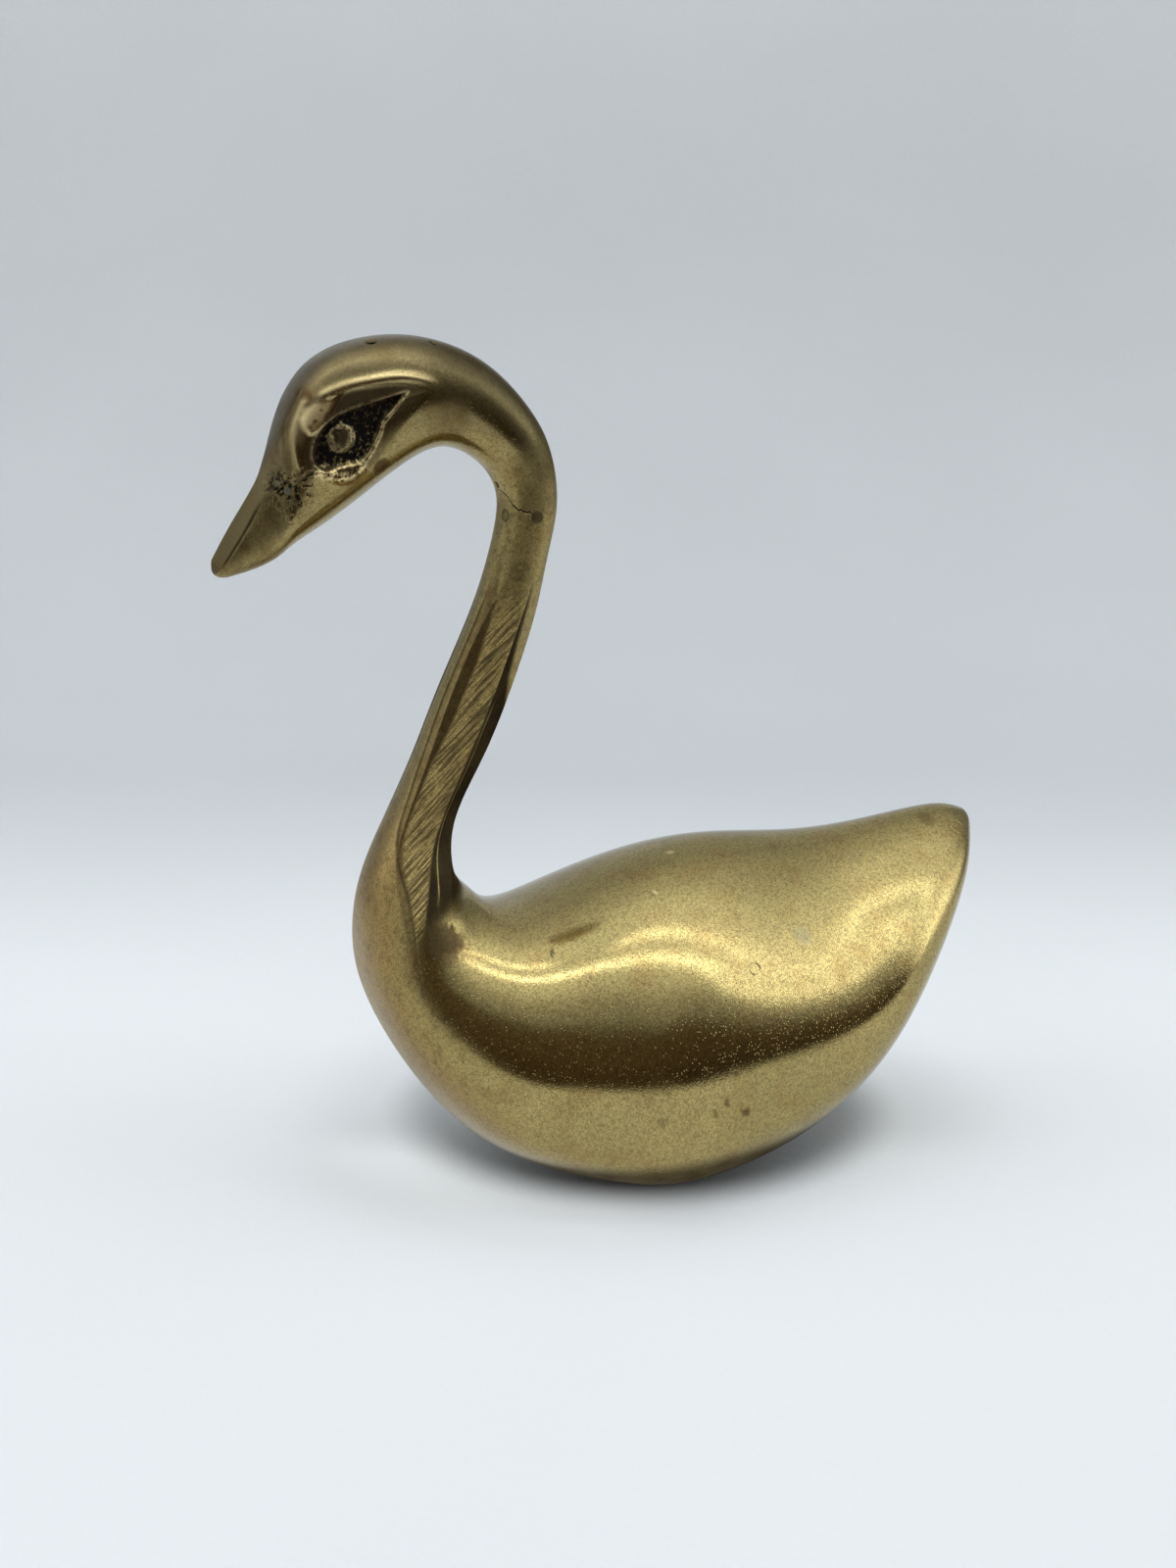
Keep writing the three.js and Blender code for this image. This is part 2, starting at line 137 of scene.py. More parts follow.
# Carving of the head, seen from the side as x z in mm
EYE = [(-42.1, 125.3), (-47, 124), (-50.5, 123), (-52.8, 122), (-54.3, 120.8), (-55.4, 119), (-55.8, 117.4),
       (-55.5, 115.7), (-54.6, 114.9), (-53, 114.8), (-51, 115.1), (-49, 115.5), (-47.8, 116.3), (-46.8, 118),
       (-46, 119.6), (-45.6, 121), (-44.8, 122), (-43.5, 123.4)]
EYEBALL = (-51.5, 119)
DIMPLE = (-51.9, 119.2)
LOWER_LID = [(-54.9, 114.6), (-53, 113.9), (-50.6, 113.9), (-48.7, 115)]
BROW = [(-55.2, 124.3), (-52, 125.9), (-47.6, 126.9), (-43.2, 127.3), (-39.7, 126.8), (-36.5, 125.7)]
FRONT_RIDGE = [(-56.4, 124.1), (-57.6, 121.3), (-58.1, 118), (-57.5, 115.5)]
LEDGE = [(-52.2, 124.9), (-53.5, 122.4), (-56, 119.7), (-57.2, 121), (-56.6, 123.2), (-55, 124.6)]
SOCKET = [(-38, 125.4), (-43.3, 126.5), (-47.7, 126.2), (-51.6, 125.2), (-53, 123.2), (-55.4, 120.4),
          (-56.8, 118.4), (-57.1, 116.2), (-55.6, 114.2), (-53, 113), (-50.4, 113), (-47.8, 114.3),
          (-45, 117), (-42.5, 120.5), (-40, 123.3)]
LORE = [(-55.4, 114.8), (-56.3, 114), (-57.1, 113.3), (-58.3, 112.2)]
BEAK_FOLD = [(-61.4, 113.6), (-60, 112.6), (-58.6, 111.6), (-58.2, 110.6)]

# Single pits in the head, a tarnished patch on the cheek, and painted shade behind the eye: x y z and radius
# in mm
HEAD_PITS = [(-46, -3.6, 132, 0.7), (-36.9, -3.5, 131.6, 0.5), (-26.7, -0.6, 110.9, 0.5)]
CHEEK_PATCH = (-45.5, -5.5, 114.9, 1.3)
EYE_SHADE = (-35, -6, 121.6, 5)

rows = np.array(list(SECTIONS.values()), float)


# Curves and surfaces

def spline_bends(knots, values):
    """Second derivatives of the natural cubic spline through values at rising knots."""
    count = len(knots)
    matrix = np.eye(count)
    right = np.zeros_like(values)
    for i in range(1, count - 1):
        before = knots[i] - knots[i - 1]
        after = knots[i + 1] - knots[i]
        matrix[i, i - 1:i + 2] = before, 2 * (before + after), after
        right[i] = 6 * ((values[i + 1] - values[i]) / after - (values[i] - values[i - 1]) / before)
    return np.linalg.solve(matrix, right)


def spline_at(knots, values, bends, place):
    """The spline at places counted in knots: 2.5 lies halfway from the third knot to the fourth."""
    i = np.clip(np.floor(place).astype(int), 0, len(knots) - 2)
    step = (knots[i + 1] - knots[i])[..., None]
    b = (place - i)[..., None]
    a = 1 - b
    bend = (a ** 3 - a) * bends[i] + (b ** 3 - b) * bends[i + 1]
    return a * values[i] + b * values[i + 1] + bend * step ** 2 / 6


def chord_knots(points, power):
    steps = np.linalg.norm(np.diff(points, axis=0), axis=1) ** power
    return np.concatenate([[0], np.cumsum(steps)])


# Knots spaced by the square root of the distance keep the spline calm between uneven sections
section_knots = chord_knots((rows[:, 0:2] + rows[:, 2:4]) / 2, 0.5)
section_bends = spline_bends(section_knots, rows)


def section_at(place):
    return spline_at(section_knots, rows, section_bends, place)


def tube(place, angle):
    """Points of the skin between the first and the last section. Angle 0 is the back, 270 the left side."""
    columns = np.moveaxis(section_at(place), -1, 0)
    back_x, back_z, keel_x, keel_z, half, widest, square_up, square_down = columns
    chord = np.hypot(back_x - keel_x, back_z - keel_z)
    turn = np.radians(angle)
    corner = (square_up + square_down + (square_up - square_down) * np.cos(turn)) / 2
    upward = (np.cos(turn) - corner * np.cos(3 * turn)) / (1 - corner)
    sideward = (np.sin(turn) + corner * np.sin(3 * turn)) / (1 - corner)
    rise = (chord / 2 + chord / 2 * upward - (chord / 2 - widest) * sideward ** 2) / chord
    x = keel_x + (back_x - keel_x) * rise
    z = keel_z + (back_z - keel_z) * rise
    return np.stack([x, half * sideward, z], -1)


def ring_middle(place):
    count = 32
    angles = np.linspace(0, 360, count, endpoint=False)
    return tube(np.full(count, float(place)), angles).mean(axis=0)


def skin(place, angle):
    """Points of the whole skin. Past either end the place runs one more unit over the rounded end."""
    kept = np.clip(place, 0, BEAK)
    points = tube(kept, angle)
    inset = 1 / 3
    for end, inner, reach in ((0, inset, TAIL_ROUND), (BEAK, BEAK - inset, BEAK_ROUND)):
        centre = ring_middle(end)
        outwards = centre - ring_middle(inner)
        outwards /= np.linalg.norm(outwards)
        past = (kept == end) & (place != kept)
        scale = 1 - np.abs(place - kept)[past][:, None]
        points[past] = centre + (points[past] - centre) * scale + outwards * reach * (1 - scale ** 2)
    return points


def smooth(low, high, value):
    """0 at low, 1 at high, with soft ends."""
    share = np.clip((value - low) / (high - low), 0, 1)
    return share * share * (3 - 2 * share)


def bump(distance, width):
    return np.exp(-(distance / width) ** 2)


def smooth_path(points, closed=False):
    """Dense smooth curve through a few points."""
    points = np.array(points + points[:1] if closed else points, float)
    knots = chord_knots(points, 1)
    spans = len(points) - 1
    steps_per_span = 8
    place = np.linspace(0, spans, steps_per_span * spans + 1)
    return spline_at(knots, points, spline_bends(knots, points), place)


def nearest(path, spots):
    """Distance of each spot from a path, and the share of the path's segments at the nearest one."""
    best = np.full(len(spots), np.inf)
    share = np.zeros(len(spots))
    for k, (start, end) in enumerate(zip(path[:-1], path[1:])):
        run = end - start
        t = np.clip((spots - start) @ run / (run @ run), 0, 1)
        distance = np.linalg.norm(spots - start - t[:, None] * run, axis=1)
        share = np.where(distance < best, (k + t) / (len(path) - 1), share)
        best = np.minimum(best, distance)
    return best, share


def outside(outline, spots):
    """Distance of each spot from a closed outline, negative inside it."""
    distance, _ = nearest(outline, spots)
    inside = np.zeros(len(spots), bool)
    for (x0, z0), (x1, z1) in zip(outline[:-1], outline[1:]):
        if z0 != z1:
            crosses = (spots[:, 1] > min(z0, z1)) & (spots[:, 1] <= max(z0, z1))
            inside ^= crosses & (spots[:, 0] < x0 + (spots[:, 1] - z0) * (x1 - x0) / (z1 - z0))
    return np.where(inside, -distance, distance)


# Large uneven factors that scatter the corners of the grain
SCATTER = np.array([12.99, 78.23, 37.72])
SCATTER_GAIN = 4375.85


def grain(points, size):
    """Smooth random values from 0 to 1 with grains of a given size."""
    cell = points / size
    corner = np.floor(cell)
    share = smooth(0, 1, cell - corner)
    total = np.zeros(points.shape[:-1])
    for step in itertools.product((0, 1), repeat=3):
        seed = np.sin((corner + step) @ SCATTER) * SCATTER_GAIN
        weight = np.prod(np.where(step, share, 1 - share), axis=-1)
        total += weight * (seed - np.floor(seed))
    return total


def spread(low, high, count, spots):
    """Rising values from low to high, closer together round spots given as (value, reach, gain)."""
    steps = 4000
    fine = np.linspace(low, high, steps)
    density = np.ones_like(fine)
    for value, reach, gain in spots:
        density += gain * np.exp(-np.abs((fine - value) / reach) ** 4)
    total = np.concatenate([[0], np.cumsum((density[1:] + density[:-1]) / 2)])
    return np.interp(np.linspace(0, total[-1], count), total, fine)


def grid_normals(points):
    """Outward normals of a grid of rings."""
    round_ = np.roll(points, -1, axis=1) - np.roll(points, 1, axis=1)
    sweep = np.gradient(points, axis=0)
    normals = np.cross(round_, sweep)
    tiny = 1e-12
    return normals / np.maximum(np.linalg.norm(normals, axis=-1, keepdims=True), tiny)


# Meshes

def add_piece(name, points, faces, replaced):
    """A smooth mesh from points in mm, shown in place of a solid."""
    mesh = bpy.data.meshes.new(name)
    mesh.from_pydata((np.asarray(points) * MM).tolist(), [], faces)
    mesh.update()
    mesh.polygons.foreach_set("use_smooth", [True] * len(mesh.polygons))
    piece = bpy.data.objects.new(name, mesh)
    bpy.context.collection.objects.link(piece)
    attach(piece, "root")
    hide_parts(replaced)
    return piece


def loft_faces(count, around):
    """Quads over a run of rings, and a fan at each end round the two points that follow them."""
    faces = []
    for row in range(count - 1):
        for k in range(around):
            here, there = row * around + k, row * around + (k + 1) % around
            faces.append((here, there, there + around, here + around))
    first, last = count * around, count * around + 1
    for k in range(around):
        following = (k + 1) % around
        faces.append((first, following, k))
        faces.append((last, (count - 1) * around + k, (count - 1) * around + following))
    return faces


def loft(name, rings, replaced):
    """Closed skin over rings, with a fan at each end."""
    ends = np.stack([rings[0].mean(axis=0), rings[-1].mean(axis=0)])
    points = np.concatenate([rings.reshape(-1, 3), ends])
    return add_piece(name, points, loft_faces(*rings.shape[:2]), replaced)


def set_marks(piece, marks):
    """Point attributes that the brass reads, such as where it is black, brown or filed, or light from wear
    and painted highlight.
    """
    for name, values in marks.items():
        padded = np.zeros(len(piece.data.vertices))
        padded[:values.size] = values.ravel()
        layer = piece.data.attributes.new(name, "FLOAT", "POINT")
        layer.data.foreach_set("value", padded)


# Wear shared by both castings

def seam_place(angle):
    """Place of the crack at an angle, with a small wobble."""
    places = np.array(SEAM, float)
    wobble = 0.012 * np.sin(np.radians(angle * 23)) + 0.008 * np.sin(np.radians(angle * 41 + 50))
    return np.interp(angle, places[:, 0], places[:, 1]) + wobble


def seam_open(angle):
    start, end = SEAM_OPEN
    return smooth(start - 6, start + 6, angle) * smooth(end + 4, end - 4, angle)


def seam_groove(place, angle):
    """Depth and blackness of the crack."""
    mm_per_place = 7.4
    half_width = 0.22
    away = np.abs(place - seam_place(angle)) * mm_per_place
    opened = seam_open(angle)
    depth = (0.02 + 0.2 * opened) * smooth(half_width, 0.02, away)
    black = 0.85 * opened * smooth(half_width, 0.06, away)
    return depth, black


def within(points, x, y, z, radius):
    """Distance from a spot, counted in its radius."""
    return np.linalg.norm(points - (x, y, z), axis=-1) / radius


def strengthen(marks, name, *values):
    marks[name] = np.maximum.reduce([marks[name], *values])


def plug_spots():
    """Name, place, angle, radius and material slot of every plug and pin."""
    for name, (place, angle, radius) in PLUGS.items():
        yield f"{name}_left", place, angle, radius, "plug_brass"
        yield f"{name}_right", place, 360 - angle, radius, "plug_brass"
    for name, (place, angle, radius) in PINS.items():
        yield name, place, angle, radius, "pin_brass"


def one(place, angle):
    return skin(np.array([float(place)]), np.array([float(angle)]))[0]


def spot_frame(place, angle):
    """Point on the skin, its outward normal and two directions along the skin."""
    nudge = 0.002
    along = one(place + nudge, angle) - one(place - nudge, angle)
    round_ = one(place, angle + nudge) - one(place, angle - nudge)
    normal = np.cross(round_, along)
    normal /= np.linalg.norm(normal)
    along /= np.linalg.norm(along)
    return one(place, angle), normal, along, np.cross(normal, along)


def plug_pockets(points):
    """Depth of the pockets that the plugs and pins sit in, and the dirt round them."""
    depth = np.zeros(points.shape[:-1])
    dirt = np.zeros(points.shape[:-1])
    same_side, lip, ring = 2, 0.08, 0.14
    for _, place, angle, radius, slot in plug_spots():
        centre, normal, along, across = spot_frame(place, angle)
        offset = points - centre
        wide = np.hypot(offset @ along, offset @ across)
        near = np.abs(offset @ normal) < same_side
        edge = radius + PLUG_GAP
        depth = np.maximum(depth, near * PLUG_POCKET * smooth(edge + lip, edge, wide))
        dirt = np.maximum(dirt, near * RING_DIRT[slot] * bump(wide - edge, ring))
    return depth, dirt


def file_flats(points, place):
    """Cut the flats into each side of the neck."""
    columns = section_at(np.clip(place[:, 0], 0, BEAK))
    keel = np.stack([columns[:, 2], np.zeros(len(columns)), columns[:, 3]], -1)
    back = np.stack([columns[:, 0], np.zeros(len(columns)), columns[:, 1]], -1)
    up = (back - keel) / np.linalg.norm(back - keel, axis=1, keepdims=True)
    fade_in, fade_out = 1.6, 1.4
    run = smooth(FLAT_FROM, FLAT_FROM + fade_in, place) * smooth(FLAT_TO, FLAT_TO - fade_out, place)
    for (turn, depth), side in itertools.product(FLATS, (-1, 1)):
        tilt = math.radians(turn)
        normal = math.sin(tilt) * up + side * math.cos(tilt) * np.array([0, 1, 0])
        reach = np.einsum("ijk,ik->ij", points - keel[:, None], normal)
        level = reach.max(axis=1, keepdims=True) - depth * run
        over = np.maximum(reach - level, 0) * (run > 0)
        points = points - over[..., None] * normal[:, None]
    return points


def on_left(angle):
    """An angle on the left side as it is, and one on the right side mirrored."""
    return np.where(angle > 180, angle, 360 - angle)


def line_angle(line, place):
    places, angles = np.array(line, float).T
    return np.interp(place, places, angles)


def neck_facet(place, angle):
    """The filed facet, and the bands in front of it and behind it where dark reflections are painted."""
    left = on_left(angle)
    front, back = line_angle(FACET_FRONT, place), line_angle(FACET_BACK, place)
    crease, far = line_angle(NECK_CREASE, place), line_angle(BAND_END, place)
    from_foot = smooth(9.2, 9.8, place)
    facet = smooth(14.7, 13.6, place) * smooth(front - 5, front + 4, left)
    facet *= smooth(back + 2, back - 2, left)
    before = smooth(15.2, 14.2, place) * smooth(crease - 5, crease + 2, left)
    before *= smooth(front + 4, front - 5, left)
    behind = smooth(14.8, 14, place) * smooth(back - 2, back + 2, left)
    behind *= smooth(far + 8, far - 8, left)
    return facet * from_foot, before * from_foot, behind * from_foot


def neck_line(line, width, place, angle):
    """1 on a line along the neck, fading over a width in mm and at both ends."""
    mm_per_degree = 0.09
    fade = 0.3
    start, end = line[0][0], line[-1][0]
    away = np.abs(on_left(angle) - line_angle(line, place)) * mm_per_degree
    return bump(away, width) * (smooth(start, start + fade, place) * smooth(end, end - fade, place))


# The body

def body_grid():
    """Place and angle of the body's points, closer together at the plugs, the pins and the crack."""
    angles = spread(0, 360, 316, [(a, 6, 2.2) for a in (53, 101, 259, 307)])[:-1]
    tip = [-0.97, -0.9, -0.8, -0.65, -0.5, -0.33, -0.16]
    tail = spread(0, 9.5, 300, [(1, 0.2, 2), (3.6, 0.16, 2.5), (4.35, 0.14, 2.5)])
    neck = spread(9.5, JOINT, 230, [(15.75, 0.2, 1), (16, 0.05, 5)])[1:]
    place, angle = np.meshgrid(np.concatenate([tip, tail, neck]), angles, indexing="ij")
    shift = seam_place(angle) - JOINT - SEAM_GAP
    return place + shift * smooth(15, JOINT, place), angle


def make_body():
    place, angle = body_grid()
    points = file_flats(skin(place, angle), place)
    normals = grid_normals(points)
    groove, crack = seam_groove(place, angle)
    crease = neck_line(NECK_CREASE, 0.2, place, angle)
    edge = neck_line(NECK_EDGE, 0.14, place, angle)
    marks, pitted = body_marks(points)
    pockets, dirt = plug_pockets(points)
    depth = groove + pockets + 0.05 * crease - 0.04 * edge + pitted
    points = points - normals * depth[..., None]
    points[..., 2] = np.maximum(points[..., 2], 0)
    strengthen(marks, "black", crack, dirt)
    tarnish_body(marks, place, angle, points[..., 2], crease, edge)

    centre = points[-1].mean(axis=0)
    cap = centre + (points[-1] - centre) * SEAM_CAP
    rings = np.concatenate([points, cap[None]])
    body = loft("body_skin", rings, "body_casting")
    blank = np.zeros((1, len(angle[0])))
    set_marks(body, {name: np.concatenate([values, blank]) for name, values in marks.items()})
    cut_base_hole(body)
    return body


def tarnish_body(marks, place, angle, height, crease, edge):
    """Add the tarnish of body and neck and the painted shade under the belly and by the facet to the marks.
    """
    off_top = np.minimum(angle, 360 - angle)
    off_front = np.abs(angle - 180)
    facet, before, behind = neck_facet(place, angle)
    # Painted shade: the belly darker towards the bottom, black and brown, for the shadow that it reflects
    # there
    painted_underside_shade = smooth(12, 8, height)
    breast = smooth(6.5, 8.5, place) * smooth(105, 70, off_front)
    # Darker along the top of the back
    back_line = smooth(18, 3, off_top) * smooth(2.5, 5, place)
    # Painted shade: the bands in front of and behind the facet darkened brown and black for dark reflections,
    # and the crease darkened black
    strengthen(marks, "black", 0.55 * crease, 0.7 * behind * (1 - edge), 0.5 * painted_underside_shade)
    strengthen(marks, "brown", 0.9 * behind * (1 - 0.6 * edge), 0.65 * before, 0.6 * painted_underside_shade)
    marks["tan"] = 0.85 * smooth(6, 8, place) * smooth(13, 10, place) * smooth(80, 40, off_front)
    marks["filed"] = facet
    marks["tarnish_and_shade"] = np.maximum(0.2 * smooth(10, 13, place), 0.15 * back_line) * (1 - facet)
    marks["matt"] = np.maximum(0.8 * smooth(9.5, 11.5, place), breast) + 0.4 * smooth(13.8, 15, place)


def body_marks(points):
    """Single spots of wear on the left side, and the depth of the pits among them."""
    marks = {name: np.zeros(points.shape[:-1]) for name in ("black", "brown", "wear_and_highlight", "green")}
    depth = np.zeros(points.shape[:-1])
    rough = grain(points, 0.5)
    for kind, x, y, z, radius, strength, pit in BODY_SPOTS:
        away = within(points, x, y, z, radius)
        spot = strength * smooth(1.25, 0.75, away + 0.5 * (rough - 0.5))
        strengthen(marks, kind, spot)
        depth = np.maximum(depth, pit * smooth(1.1, 0.5, away))
    for start, end, width in SCRATCHES:
        run = np.subtract(end, start)
        share = np.clip((points - start) @ run / (run @ run), 0, 1)
        away = np.linalg.norm(points - start - share[..., None] * run, axis=-1)
        strengthen(marks, "black", 0.5 * bump(away, width))
        depth = np.maximum(depth, 0.05 * bump(away, width))
    return marks, depth


def cut_base_hole(body):
    """Open the flat under the body and line the hole that its plug sits in."""
    mesh = bmesh.new()
    mesh.from_mesh(body.data)
    on_flat = 1e-7
    level = [f for f in mesh.faces if all(v.co.z < on_flat for v in f.verts)]
    bmesh.ops.delete(mesh, geom=level, context="FACES")
    rim = [e for e in mesh.edges if e.is_boundary]
    for radius, height in BASE_HOLE:
        grown = bmesh.ops.extrude_edge_only(mesh, edges=rim)["geom"]
        for vertex in (v for v in grown if isinstance(v, bmesh.types.BMVert)):
            scale = radius * MM / math.hypot(vertex.co.x, vertex.co.y)
            vertex.co = Vector((vertex.co.x * scale, vertex.co.y * scale, height * MM))
        rim = [e for e in grown if isinstance(e, bmesh.types.BMEdge)]
    bmesh.ops.holes_fill(mesh, edges=rim, sides=0)
    bmesh.ops.recalc_face_normals(mesh, faces=mesh.faces)
    mesh.to_mesh(body.data)
    mesh.free()
    body.data.polygons.foreach_set("use_smooth", [True] * len(body.data.polygons))


# The head

def head_grid():
    """Place and angle of the head's points, closer together at the eyes, the beak's root and the crack."""
    angles = spread(0, 360, 340, [(a, 40, 1.1) for a in (88, 272)])[:-1]
    crown = spread(JOINT, BEAK, 400, [(16, 0.06, 4), (21.6, 1.6, 1.6), (24.5, 1.6, 0.3)])
    tip = [BEAK + past for past in (0.15, 0.3, 0.45, 0.6, 0.75, 0.88, 0.96)]
    place, angle = np.meshgrid(np.concatenate([crown, tip]), angles, indexing="ij")
    shift = seam_place(angle) - JOINT + SEAM_GAP
    return place + shift * smooth(17, JOINT, place), angle


def roof_beak(points, place, angle):
    """Lay the beak's upper faces straight from their lower edge to the ridge."""
    eave = line_angle(EAVE, place)
    left = on_left(angle)
    share = np.clip((left - eave) / (360 - eave), 0, 1)
    side = np.where(angle > 180, eave, 360 - eave)
    ridge = skin(place, np.zeros_like(place))
    low = skin(place, side)
    flat = low + (ridge - low) * share[..., None]
    weight = 0.8 * smooth(23.6, 24.4, place) * (left > eave)
    return points + (flat - points) * weight[..., None]


def carve_head(points):
    """Height of the carving over the skin, and the marks that its wear leaves."""
    flat = points.reshape(-1, 3)
    spots = flat[:, [0, 2]]
    flank = smooth(1.5, 4.5, np.abs(flat[:, 1]))
    fine = (grain(flat, 0.22) + grain(flat, 0.5)) / 2
    coarse = grain(flat, 0.8)

    # The socket, with a longer slope below and behind the eye
    to_cheek = (spots[:, 0] + 50) * 0.6 + (120 - spots[:, 1]) * 0.8
    cheek = smooth(-1, 3, to_cheek)
    inside = -outside(smooth_path(SOCKET, True), spots)
    socket = smooth(0, 1, inside / (2.2 + 1.4 * cheek))
    height = -0.6 * socket

    # The brow, the ridge in front of the eye and the ledge beside it
    brow, brow_share = nearest(smooth_path(BROW), spots)
    crest = bump(brow, 0.7) * smooth(0, 0.1, brow_share) * smooth(1, 0.7, brow_share)
    ridge, _ = nearest(smooth_path(FRONT_RIDGE), spots)
    ledge = smooth(-0.3, 0.8, -outside(smooth_path(LEDGE, True), spots) + 0.3 * (coarse - 0.5))
    height += 0.3 * crest + 0.15 * bump(ridge, 0.5) + ledge * (0.1 + 0.12 * (122.5 - spots[:, 1]))

    # The eye: its well and rim, the ball with a dimple, and the lower lid
    eye = outside(smooth_path(EYE, True), spots)
    well = smooth(0, 0.35, -eye)
    rim = bump(eye - 0.15, 0.25) * (0.35 + 0.65 * smooth(-0.5, 1.5, to_cheek))
    pad, _ = nearest(smooth_path(LOWER_LID), spots)
    lower = bump(pad, 0.75)
    from_ball = np.hypot(spots[:, 0] - EYEBALL[0], spots[:, 1] - EYEBALL[1])
    from_dimple = np.hypot(spots[:, 0] - DIMPLE[0], spots[:, 1] - DIMPLE[1])
    ball = smooth(2.7, 2.1, from_ball)
    dome = smooth(3, 0.5, from_ball)
    dimple = smooth(1.6, 0.9, from_dimple + coarse - 0.5)
    height += 0.12 * rim + 0.45 * lower * (0.8 + 0.4 * fine)
    rough = 0.3 * well * (1 - ball) + 0.2 * ball
    height += -0.6 * well + dome - 0.45 * dimple + rough * (fine - 0.5)

    # The chain of pits in front of the eye, and the pitted fold at the beak's root
    lore, _ = nearest(smooth_path(LORE), spots)
    fold, _ = nearest(smooth_path(BEAK_FOLD), spots)
    chain = bump(lore, 0.5) * smooth(0.35, 0.6, coarse)
    pitted = bump(fold, 2.1)
    height -= 0.35 * chain + pitted * (0.25 + 0.35 * smooth(0.5, 0.75, fine))

    # Dirt in the hollows and wear on what stands out, with painted shade in the socket under the brow and
    # painted highlights along the brow's crest, the front ridge and the eyeball's top
    sunk = well * (1 - 0.9 * smooth(2.2, 1.8, from_ball))
    specks = smooth(0.6, 0.68, fine + 0.1 * bump(eye + 0.35, 0.35))
    # Painted shade: the socket's upper wall under the brow darkened brown and black
    painted_socket_shade = smooth(-0.1, 0.7, inside) * (1 - ledge) * (1 - 0.6 * cheek)
    streaks = bump(ridge - 1.2, 0.8) * smooth(0.1, 0.5, grain(flat * (1, 1, 0.25), 0.6))
    # Painted highlight: the eyeball lighter towards its top
    painted_ball_highlight = smooth(-1.5, 1.5, spots[:, 1] - EYEBALL[1])
    black = np.maximum.reduce([
        sunk * (1 - 0.9 * specks),
        0.9 * chain,
        0.9 * pitted * smooth(0.48, 0.6, fine),
        0.8 * ball * smooth(0.58, 0.66, fine) * (1 - dimple),
        0.55 * painted_socket_shade * (1 - lower) * (1 - rim),
    ])
    wear_and_highlight = np.maximum.reduce([
        0.75 * ledge * smooth(-0.2, 0.35, coarse),
        lower * smooth(0.38, 0.5, fine),
        ball * (1 - dimple) * (0.45 + 0.55 * painted_ball_highlight) * smooth(0.34, 0.46, fine),
        0.9 * rim * (1 - lower) * smooth(0.3, 0.5, fine),
        # Painted highlights: lighter lines along the front ridge and the brow's crest
        0.25 * bump(ridge, 0.35),
        0.5 * crest,
    ])
    green = 0.6 * bump(fold, 0.7) * smooth(0.5, 0.7, coarse)
    brown = np.maximum.reduce([painted_socket_shade, 0.7 * pitted, 0.8 * streaks, 0.8 * dimple])
    marks = {"black": black, "wear_and_highlight": wear_and_highlight, "green": green, "brown": brown}
    shape = points.shape[:-1]
    marks = {name: (values * flank).reshape(shape) for name, values in marks.items()}
    return (height * flank).reshape(shape), marks


def head_pits(points):
    pits = np.zeros(points.shape[:-1])
    for spot in HEAD_PITS:
        pits = np.maximum(pits, smooth(1.3, 0.6, within(points, *spot)))
    return pits


def beak_gutter(place, angle):
    """The gutter along the lower edge of the beak's roof."""
    mm_per_degree = 0.06
    edge = np.abs(on_left(angle) - line_angle(EAVE, place)) * mm_per_degree
    return bump(edge, 0.3) * smooth(24.1, 24.6, place) * smooth(26, 25.7, place)


def make_head():
    place, angle = head_grid()
    points = roof_beak(skin(place, angle), place, angle)
    normals = grid_normals(points)
    height, marks = carve_head(points)
    groove, crack = seam_groove(place, angle)
    gutter = beak_gutter(place, angle)
    pits = head_pits(points)
    pockets, dirt = plug_pockets(points)
    height = height - groove - pockets - 0.16 * gutter - 0.35 * pits
    points = points + normals * height[..., None]
    strengthen(marks, "black", crack, dirt, pits, 0.8 * gutter)
    tarnish_head(marks, place, angle, points)

    centre = points[0].mean(axis=0)
    cap = centre + (points[0] - centre) * SEAM_CAP
    rings = np.concatenate([cap[None], points])
    head = loft("head_skin", rings, "head_casting")
    blank = np.zeros((1, len(angle[0])))
    set_marks(head, {name: np.concatenate([blank, values]) for name, values in marks.items()})
    return head


def tarnish_head(marks, place, angle, points):
    """Add the broad tarnish of the head, and painted shade on the nape, the crown and behind the eye, to the
    marks.
    """
    off_top = np.minimum(angle, 360 - angle)
    crown = smooth(16.5, 19, place) * smooth(75, 50, off_top)
    # Painted shade: the nape darkened black for the dim reflection there
    nape = smooth(16.2, 16.8, place) * smooth(20.8, 19.6, place)
    nape *= smooth(98, 78, off_top) * smooth(10, 45, off_top)
    # Painted shade: a brown patch behind the eye on both sides for a dark reflection
    to_left = np.stack([points[..., 0], -np.abs(points[..., 1]), points[..., 2]], -1)
    painted_eye_shade = smooth(1.1, 0.2, within(to_left, *EYE_SHADE))
    patch = smooth(1.2, 0.8, within(points, *CHEEK_PATCH))
    strengthen(marks, "black", 0.45 * nape)
    strengthen(marks, "brown", 0.85 * patch, 0.55 * painted_eye_shade)
    marks["roof"] = smooth(23.9, 24.4, place) * (on_left(angle) > line_angle(EAVE, place))
    # The head's tarnish, with painted shade making the crown darker
    marks["tarnish_and_shade"] = 0.5 + 0.2 * smooth(16.5, 19, place) + 0.3 * crown - 0.3 * smooth(100, 125, off_top)
    marks["matt"] = 0.25 + 0.9 * smooth(18.2, 16.8, place) + 0.9 * smooth(22.8, 24.2, place) + 0.5 * crown


# Plugs and pins

# From the middle to the inner end: share of the radius, and depth under the skin in mm
PLUG_PROFILE = [(0.15, 0.01), (0.4, 0.01), (0.65, 0.01), (0.85, 0.01), (0.95, 0.015), (1, 0.04),
                (1, PLUG_DEPTH)]


